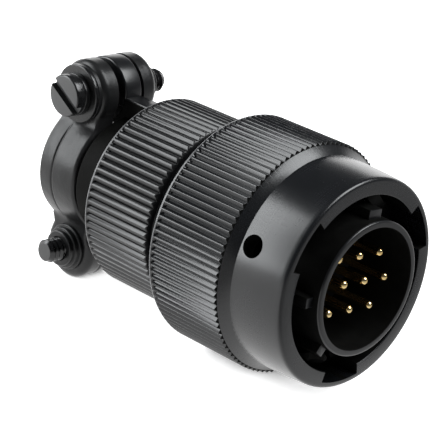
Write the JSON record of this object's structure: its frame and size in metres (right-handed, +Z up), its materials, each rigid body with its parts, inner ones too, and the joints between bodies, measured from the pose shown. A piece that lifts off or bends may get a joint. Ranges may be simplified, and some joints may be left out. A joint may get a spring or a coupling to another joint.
{
  "type": "circular connector",
  "caption": "Round black cable plug with a knurled bayonet coupling nut, gold pins in a keyed barrel, and a knurled rear nut that carries a two-saddle cable clamp.",
  "frame": {"origin": "on the plug's axis, in the plane of the barrel's front edge", "axes": "+X along the axis towards the mating end, +Z up towards the upper clamp screw, +Y along the clamp screws"},
  "size_m": [0.0459, 0.0264, 0.0268],
  "materials": {
    "black_anodised": "satin",
    "black_saddle": "satin",
    "black_steel": "satin",
    "spring_steel": "satin",
    "gold_pin": "polished",
    "insert_plastic": "matte",
    "seal_rubber": "matte",
    "grommet_rubber": "matte"
  },
  "bodies": {
    "shell": {"plug_shell": "black_anodised", "insert": "insert_plastic", "face_seal": "seal_rubber", "grommet": "grommet_rubber", "grommet_follower": "insert_plastic", "wave_spring": "spring_steel", "pin_1": "gold_pin", "pin_2": "gold_pin", "pin_3": "gold_pin", "pin_4": "gold_pin", "pin_5": "gold_pin", "pin_6": "gold_pin", "pin_7": "gold_pin", "pin_8": "gold_pin", "pin_9": "gold_pin", "pin_10": "gold_pin"},
    "thrust_washer": {"thrust_washer": "spring_steel"},
    "coupling_nut": {"coupling_nut": "black_anodised", "snap_ring": "spring_steel"},
    "clamp_body": {"clamp_body": "black_anodised", "retaining_ring": "spring_steel"},
    "clamp_nut": {"clamp_nut": "black_anodised"},
    "saddle_near": {"saddle_near": "black_saddle", "flat_washer_top": "black_steel", "lock_washer_top": "black_steel"},
    "saddle_far": {"saddle_far": "black_saddle", "flat_washer_bottom": "black_steel", "lock_washer_bottom": "black_steel"},
    "screw_top": {"screw_top": "black_steel"},
    "screw_bottom": {"screw_bottom": "black_steel"}
  },
  "joints": [
    {"name": "coupling_float", "type": "slide", "parent": "shell", "child": "thrust_washer", "axis": [1, 0, 0], "range_m": [0, 0.0008], "stiffness_N_per_m": 3000, "springref_m": -0.001, "deforming": ["wave_spring"]},
    {"name": "coupling_turn", "type": "hinge", "parent": "thrust_washer", "child": "coupling_nut", "pos_m": [-0.0138, 0, 0], "axis": [1, 0, 0], "continuous": true},
    {"name": "clamp_slide", "type": "slide", "parent": "shell", "child": "clamp_body", "axis": [-1, 0, 0], "range_m": [0, 0.0085]},
    {"name": "clamp_nut_turn", "type": "hinge", "parent": "clamp_body", "child": "clamp_nut", "pos_m": [-0.026, 0, 0], "axis": [-1, 0, 0], "range_deg": [0, 2880]},
    {"name": "saddle_near_slide", "type": "slide", "parent": "clamp_body", "child": "saddle_near", "axis": [0, 1, 0], "range_m": [-0.00095, 0.00029]},
    {"name": "saddle_far_slide", "type": "slide", "parent": "clamp_body", "child": "saddle_far", "axis": [0, -1, 0], "range_m": [-0.00096, 0.00029]},
    {"name": "screw_top_turn", "type": "hinge", "parent": "saddle_near", "child": "screw_top", "pos_m": [-0.04209, 0, 0.00955], "axis": [0, 1, 0], "range_deg": [-1081, 325]},
    {"name": "screw_bottom_turn", "type": "hinge", "parent": "saddle_far", "child": "screw_bottom", "pos_m": [-0.04209, 0, -0.00955], "axis": [0, -1, 0], "range_deg": [-1081, 325]}
  ],
  "couplings": [
    {"joint": "clamp_slide", "follows": "clamp_nut_turn", "m_per_rad": 0.00016839},
    {"joint": "screw_top_turn", "follows": "saddle_near_slide", "rad_per_m": 19790},
    {"joint": "screw_bottom_turn", "follows": "saddle_near_slide", "rad_per_m": 19790},
    {"joint": "saddle_far_slide", "follows": "saddle_near_slide", "ratio": 1}
  ]
}
